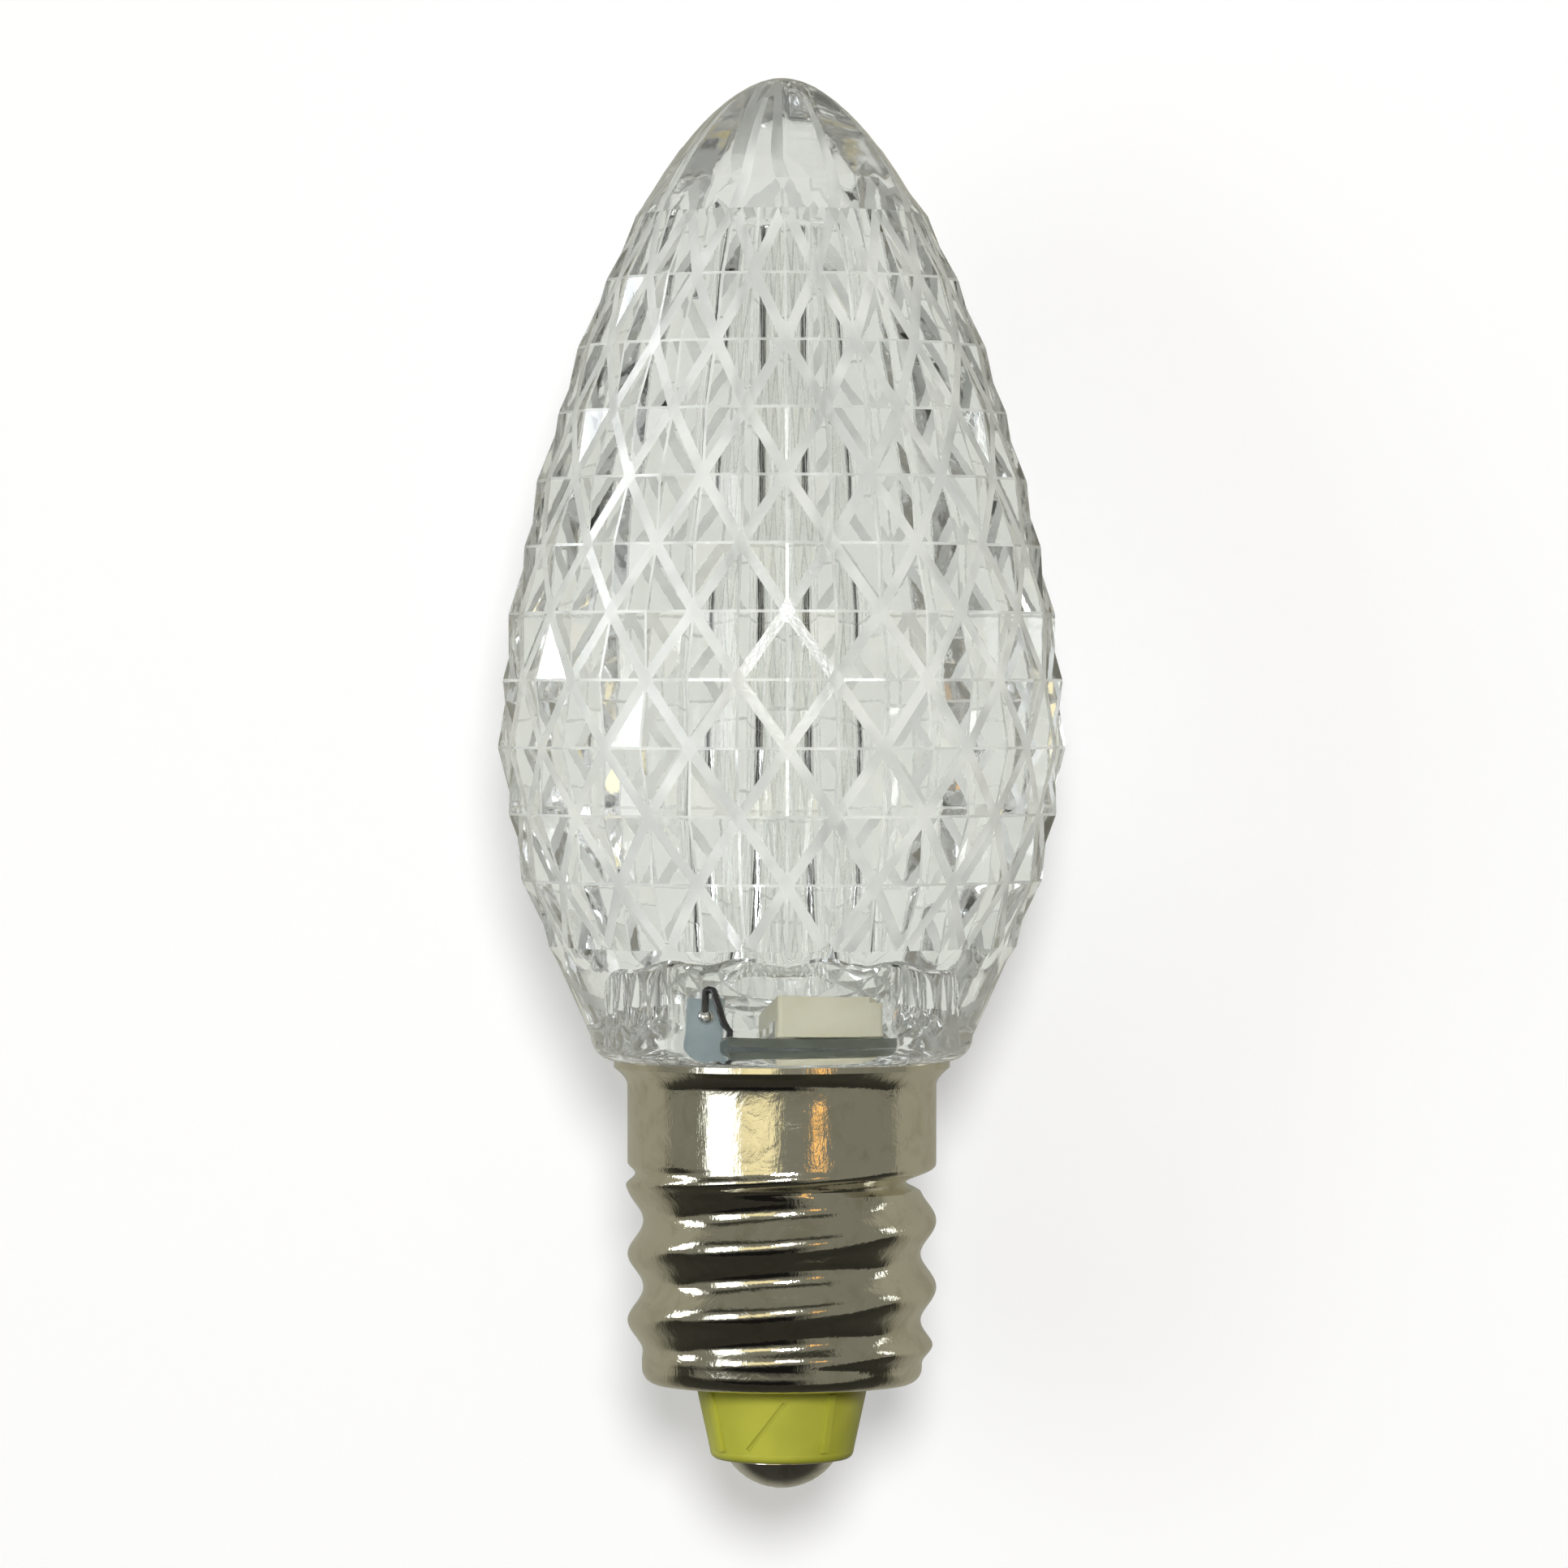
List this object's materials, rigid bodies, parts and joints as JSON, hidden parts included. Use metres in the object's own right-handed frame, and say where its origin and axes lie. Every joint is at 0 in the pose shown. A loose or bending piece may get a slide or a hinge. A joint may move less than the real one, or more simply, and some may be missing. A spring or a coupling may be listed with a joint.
{
  "type": "LED light bulb",
  "caption": "Clear diamond-faceted torpedo LED bulb with a small nickel screw base, a yellow-green insulator and a domed centre contact.",
  "frame": {"origin": "lowest point of the domed centre contact, on the bulb's axis", "axes": "+Z along the bulb's axis from the centre contact to the tip of the lens; -Y is the side the picture shows"},
  "size_m": [0.0218, 0.0216, 0.0538],
  "materials": {
    "clear_plastic": "clear moulded acrylic, polished facets",
    "nickel_shell": "bright nickel plate on rolled brass",
    "nickel_contact": "bright nickel plate",
    "green_plastic": "yellow-green moulded plastic, satin",
    "cream_plastic": "cream moulded LED body",
    "phosphor": "yellow phosphor gel",
    "die": "polished semiconductor",
    "silver_lead": "silver-plated lead",
    "solder": "bright solder",
    "led_board_mask": "pale solder mask on board",
    "driver_board_mask": "pale blue-grey solder mask",
    "holder_plastic": "pale moulded plastic",
    "black_enamel": "black enamel on wire",
    "package_black": "black moulding compound",
    "resistor_body": "dark glazed ceramic",
    "capacitor_body": "tan ceramic",
    "tinned_copper": "tinned copper",
    "red_sleeve": "red wire insulation",
    "white_sleeve": "white wire insulation"
  },
  "bodies": {
    "root": {"lens_cover": "clear_plastic", "led_housing": "cream_plastic", "led_phosphor": "phosphor", "led_dies": "die", "led_terminals": "silver_lead", "led_solder": "solder", "led_board": "led_board_mask", "jumper_wire": "black_enamel", "jumper_solder": "solder", "tongue_solder": "solder", "board_holder": "holder_plastic", "driver_board": "driver_board_mask", "bridge_rectifier": "package_black", "rectifier_leads": "silver_lead", "driver_chip": "package_black", "chip_leads": "silver_lead", "sense_resistors": "resistor_body", "resistor_ends": "solder", "filter_capacitor": "capacitor_body", "capacitor_ends": "solder", "live_wire_core": "tinned_copper", "live_wire_sleeve": "red_sleeve", "shell_wire_core": "tinned_copper", "shell_wire_sleeve": "white_sleeve", "contact_solder": "solder", "shell_solder": "solder", "wire_solder": "solder", "screw_shell": "nickel_shell", "insulator": "green_plastic", "centre_contact": "nickel_contact"}
  },
  "joints": []
}
